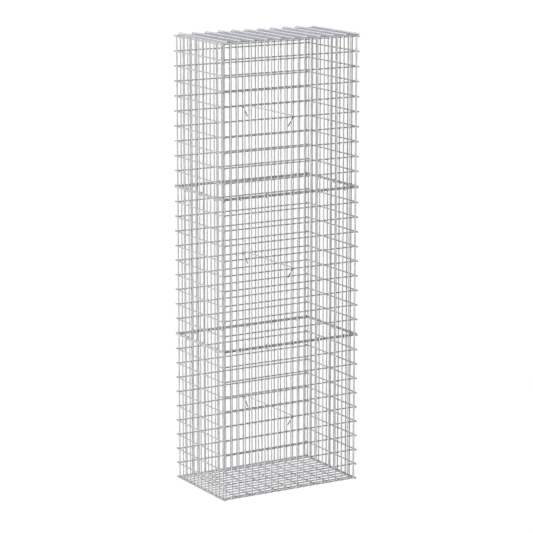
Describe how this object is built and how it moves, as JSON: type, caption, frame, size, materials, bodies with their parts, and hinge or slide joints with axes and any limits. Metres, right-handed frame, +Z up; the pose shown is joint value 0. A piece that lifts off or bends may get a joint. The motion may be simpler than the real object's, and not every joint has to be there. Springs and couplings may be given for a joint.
{
  "type": "gabion wall cage",
  "caption": "Empty stacked wire-mesh gabion cage with a floor, tie wires between front and back, rings at the tier joints and a lid that hinges open at the back.",
  "frame": {"origin": "centre of the cage's footprint on the ground", "axes": "+X along the width to the right, -Y is the front, +Z up"},
  "size_m": [0.5346, 0.334, 1.5218],
  "materials": {
    "galvanised_mesh": "galvanised, dull",
    "galvanised_tie": "galvanised, dull",
    "galvanised_ring": "galvanised, dull"
  },
  "bodies": {
    "cage": {"floor_panel": "galvanised_mesh", "lower_front_panel": "galvanised_mesh", "lower_back_panel": "galvanised_mesh", "lower_left_panel": "galvanised_mesh", "lower_right_panel": "galvanised_mesh", "middle_front_panel": "galvanised_mesh", "middle_back_panel": "galvanised_mesh", "middle_left_panel": "galvanised_mesh", "middle_right_panel": "galvanised_mesh", "upper_front_panel": "galvanised_mesh", "upper_back_panel": "galvanised_mesh", "upper_left_panel": "galvanised_mesh", "upper_right_panel": "galvanised_mesh", "lower_tie_wire": "galvanised_tie", "middle_tie_wire": "galvanised_tie", "upper_tie_wire": "galvanised_tie", "lower_front_rings": "galvanised_ring", "lower_back_rings": "galvanised_ring", "lower_left_rings": "galvanised_ring", "lower_right_rings": "galvanised_ring", "upper_front_rings": "galvanised_ring", "upper_back_rings": "galvanised_ring", "upper_left_rings": "galvanised_ring", "upper_right_rings": "galvanised_ring"},
    "lid": {"lid_panel": "galvanised_mesh"}
  },
  "joints": [
    {"name": "lid_hinge", "type": "hinge", "parent": "cage", "child": "lid", "pos_m": [0, 0.156, 1.51135], "axis": [-1, 0, 0], "range_deg": [0, 200]}
  ]
}
